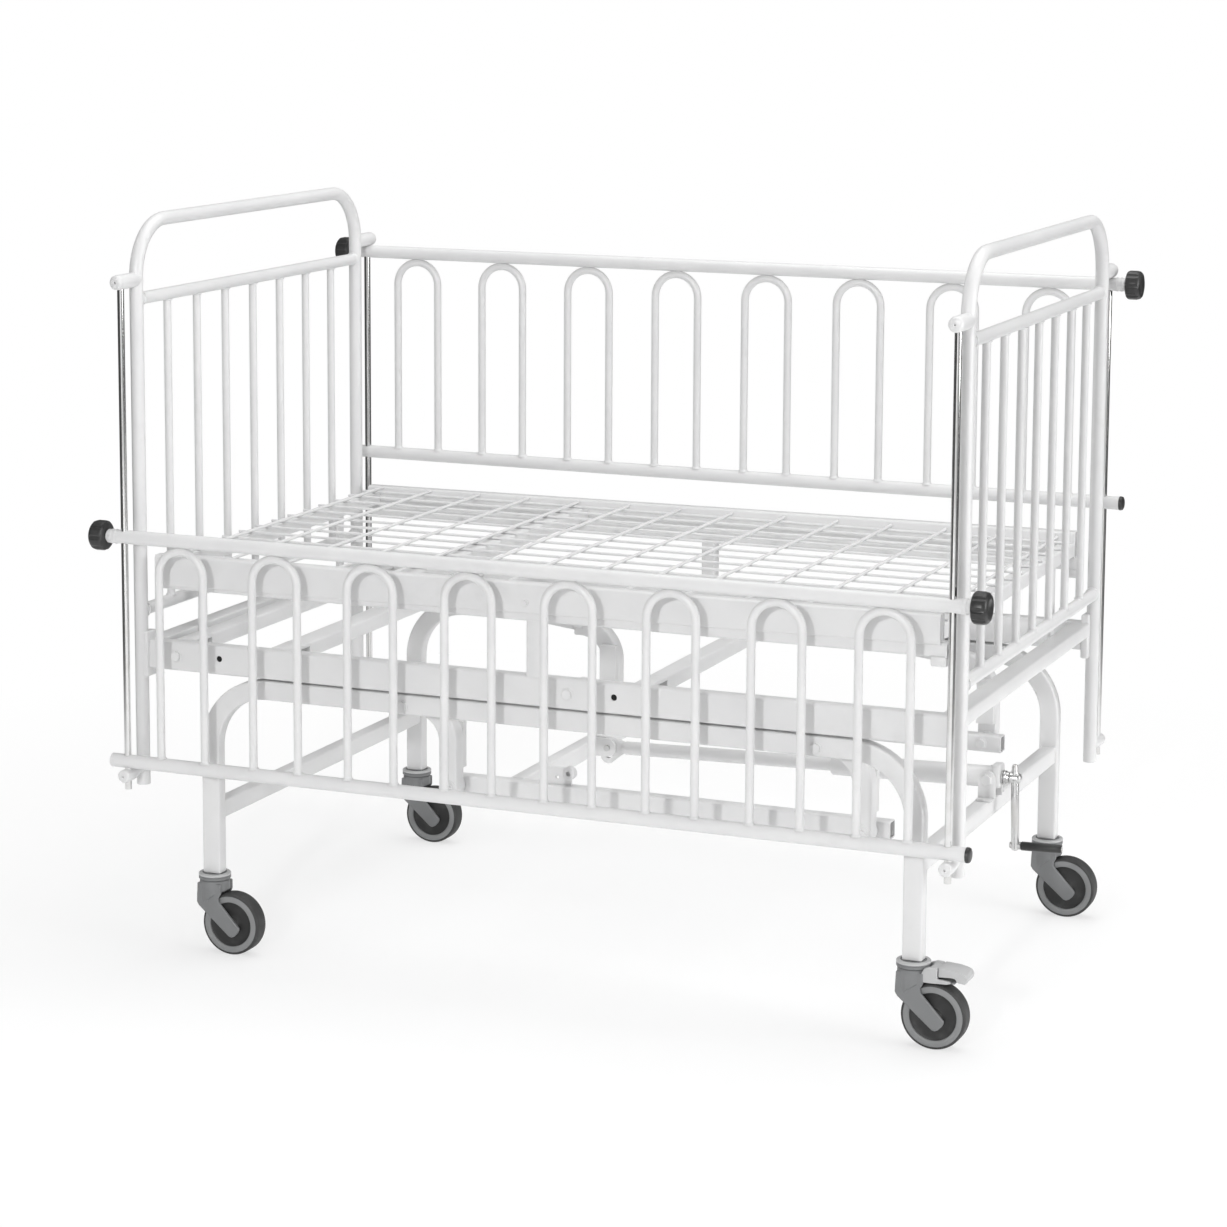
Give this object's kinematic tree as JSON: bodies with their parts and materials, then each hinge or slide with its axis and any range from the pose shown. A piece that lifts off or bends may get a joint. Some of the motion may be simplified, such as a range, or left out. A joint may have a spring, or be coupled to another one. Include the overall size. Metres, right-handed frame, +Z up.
{
  "type": "pediatric hospital cot",
  "caption": "Steel hospital cot for children: crank-lifted mesh bed frame between barred ends, sliding looped side rails, arched undercarriage on castors.",
  "frame": {"origin": "on the floor, midway between the four corner posts", "axes": "+X to the foot end with the crank, +Y to the far side, +Z up"},
  "size_m": [1.4795, 0.9052, 1.186],
  "materials": {
    "white_paint": "semi-gloss powder coat",
    "chrome": "polished",
    "zinc": "bright zinc",
    "black_plastic": "satin",
    "grey_plastic": "satin",
    "pedal_plastic": "satin",
    "tyre": "matte",
    "wheel_centre": "matte"
  },
  "bodies": {
    "undercarriage": {"arch_near": "white_paint", "arch_far": "white_paint", "lower_crossbars": "white_paint", "arch_pivot_pins": "white_paint", "castor_heads": "grey_plastic", "screw_housing": "white_paint", "crank_clevis": "white_paint"},
    "lever_head_near": {"lever_head_near": "white_paint"},
    "lever_head_far": {"lever_head_far": "white_paint"},
    "lever_foot_near": {"lever_foot_near": "white_paint"},
    "lever_foot_far": {"lever_foot_far": "white_paint"},
    "tie_frame": {"tie_bars": "white_paint", "tie_cross_tube": "white_paint", "tie_pivot_pins": "white_paint", "drive_lug_bolt": "zinc"},
    "drive": {"drive_tube": "white_paint", "drive_nut": "zinc"},
    "crank": {"lift_screw": "zinc", "crank_arm": "chrome"},
    "grip": {"crank_grip": "black_plastic"},
    "bed_frame": {"main_rails": "white_paint", "frame_cross_members": "white_paint", "support_posts": "white_paint", "frame_brackets": "white_paint", "frame_pivot_pins": "white_paint", "platform_frame": "white_paint", "platform_mesh": "white_paint", "headboard_bow": "white_paint", "headboard_crossbars": "white_paint", "headboard_bars": "white_paint", "footboard_bow": "white_paint", "footboard_crossbars": "white_paint", "footboard_bars": "white_paint", "guide_rods": "chrome", "rod_lugs": "white_paint"},
    "rail_near": {"rail_near_top_tube": "white_paint", "rail_near_bottom_tube": "white_paint", "rail_near_loops": "white_paint", "rail_near_plugs": "black_plastic"},
    "knob_near_head": {"rail_near_knob_head": "black_plastic"},
    "knob_near_foot": {"rail_near_knob_foot": "black_plastic"},
    "rail_far": {"rail_far_top_tube": "white_paint", "rail_far_bottom_tube": "white_paint", "rail_far_loops": "white_paint", "rail_far_plugs": "black_plastic"},
    "knob_far_head": {"rail_far_knob_head": "black_plastic"},
    "knob_far_foot": {"rail_far_knob_foot": "black_plastic"},
    "fork_head_near": {"castor_fork_head_near": "grey_plastic"},
    "wheel_head_near": {"castor_tyre_head_near": "tyre", "castor_wheel_head_near": "wheel_centre"},
    "fork_head_far": {"castor_fork_head_far": "grey_plastic"},
    "wheel_head_far": {"castor_tyre_head_far": "tyre", "castor_wheel_head_far": "wheel_centre"},
    "fork_foot_near": {"castor_fork_foot_near": "grey_plastic"},
    "wheel_foot_near": {"castor_tyre_foot_near": "tyre", "castor_wheel_foot_near": "wheel_centre"},
    "fork_foot_far": {"castor_fork_foot_far": "grey_plastic"},
    "wheel_foot_far": {"castor_tyre_foot_far": "tyre", "castor_wheel_foot_far": "wheel_centre"},
    "pedal": {"brake_pedal": "pedal_plastic"}
  },
  "joints": [
    {"name": "bed_lift", "type": "hinge", "parent": "undercarriage", "child": "lever_head_near", "pos_m": [-0.218, -0.33, 0.437], "axis": [0, 1, 0], "range_deg": [0, 31]},
    {"name": "bed_level", "type": "hinge", "parent": "lever_head_near", "child": "bed_frame", "pos_m": [-0.618, -0.33, 0.482], "axis": [0, 1, 0], "range_deg": [-31, 0]},
    {"name": "tie_level", "type": "hinge", "parent": "lever_head_near", "child": "tie_frame", "pos_m": [-0.158, -0.33, 0.302], "axis": [0, 1, 0], "range_deg": [-31, 0]},
    {"name": "lever_head_far_turn", "type": "hinge", "parent": "undercarriage", "child": "lever_head_far", "pos_m": [-0.218, 0.33, 0.437], "axis": [0, 1, 0], "range_deg": [0, 31]},
    {"name": "lever_foot_near_turn", "type": "hinge", "parent": "undercarriage", "child": "lever_foot_near", "pos_m": [0.463, -0.33, 0.437], "axis": [0, 1, 0], "range_deg": [0, 31]},
    {"name": "lever_foot_far_turn", "type": "hinge", "parent": "undercarriage", "child": "lever_foot_far", "pos_m": [0.463, 0.33, 0.437], "axis": [0, 1, 0], "range_deg": [0, 31]},
    {"name": "drive_travel", "type": "slide", "parent": "undercarriage", "child": "drive", "axis": [0.9997, 0, 0.0247], "range_m": [-0.078, 0]},
    {"name": "crank_turn", "type": "hinge", "parent": "undercarriage", "child": "crank", "pos_m": [0.662, 0, 0.323], "axis": [0.9997, 0, 0.0247], "range_deg": [0, 3497.5]},
    {"name": "grip_spin", "type": "hinge", "parent": "crank", "child": "grip", "pos_m": [0.66445, 0, 0.21503], "axis": [0.9997, 0, 0.0247], "continuous": true},
    {"name": "rail_near_slide", "type": "slide", "parent": "bed_frame", "child": "rail_near", "axis": [0, 0, 1], "range_m": [0, 0.384]},
    {"name": "rail_far_slide", "type": "slide", "parent": "bed_frame", "child": "rail_far", "axis": [0, 0, 1], "range_m": [-0.384, 0]},
    {"name": "knob_near_head_pull", "type": "slide", "parent": "rail_near", "child": "knob_near_head", "axis": [-1, 0, 0], "range_m": [0, 0.012], "stiffness_N_per_m": 600},
    {"name": "knob_near_foot_pull", "type": "slide", "parent": "rail_near", "child": "knob_near_foot", "axis": [1, 0, 0], "range_m": [0, 0.012], "stiffness_N_per_m": 600},
    {"name": "knob_far_head_pull", "type": "slide", "parent": "rail_far", "child": "knob_far_head", "axis": [-1, 0, 0], "range_m": [0, 0.012], "stiffness_N_per_m": 600},
    {"name": "knob_far_foot_pull", "type": "slide", "parent": "rail_far", "child": "knob_far_foot", "axis": [1, 0, 0], "range_m": [0, 0.012], "stiffness_N_per_m": 600},
    {"name": "swivel_head_near", "type": "hinge", "parent": "undercarriage", "child": "fork_head_near", "pos_m": [-0.5595, -0.372, 0.1], "axis": [0, 0, 1], "continuous": true},
    {"name": "roll_head_near", "type": "hinge", "parent": "fork_head_near", "child": "wheel_head_near", "pos_m": [-0.5245, -0.372, 0.05], "axis": [0, 1, 0], "continuous": true},
    {"name": "swivel_head_far", "type": "hinge", "parent": "undercarriage", "child": "fork_head_far", "pos_m": [-0.5595, 0.372, 0.1], "axis": [0, 0, 1], "continuous": true},
    {"name": "roll_head_far", "type": "hinge", "parent": "fork_head_far", "child": "wheel_head_far", "pos_m": [-0.5245, 0.372, 0.05], "axis": [0, 1, 0], "continuous": true},
    {"name": "swivel_foot_near", "type": "hinge", "parent": "undercarriage", "child": "fork_foot_near", "pos_m": [0.617, -0.372, 0.1], "axis": [0, 0, 1], "continuous": true},
    {"name": "roll_foot_near", "type": "hinge", "parent": "fork_foot_near", "child": "wheel_foot_near", "pos_m": [0.652, -0.372, 0.05], "axis": [0, 1, 0], "continuous": true},
    {"name": "swivel_foot_far", "type": "hinge", "parent": "undercarriage", "child": "fork_foot_far", "pos_m": [0.617, 0.372, 0.1], "axis": [0, 0, 1], "continuous": true},
    {"name": "roll_foot_far", "type": "hinge", "parent": "fork_foot_far", "child": "wheel_foot_far", "pos_m": [0.652, 0.372, 0.05], "axis": [0, 1, 0], "continuous": true},
    {"name": "brake_press", "type": "hinge", "parent": "fork_foot_near", "child": "pedal", "pos_m": [0.65, -0.372, 0.116], "axis": [0, 1, 0], "range_deg": [0, 6]}
  ],
  "couplings": [
    {"joint": "bed_level", "follows": "bed_lift", "ratio": -1},
    {"joint": "tie_level", "follows": "bed_lift", "ratio": -1},
    {"joint": "lever_head_far_turn", "follows": "bed_lift", "ratio": 1},
    {"joint": "lever_foot_near_turn", "follows": "bed_lift", "ratio": 1},
    {"joint": "lever_foot_far_turn", "follows": "bed_lift", "ratio": 1},
    {"joint": "drive_travel", "follows": "bed_lift", "m_per_rad": -0.14361},
    {"joint": "crank_turn", "follows": "bed_lift", "ratio": 112.79}
  ]
}
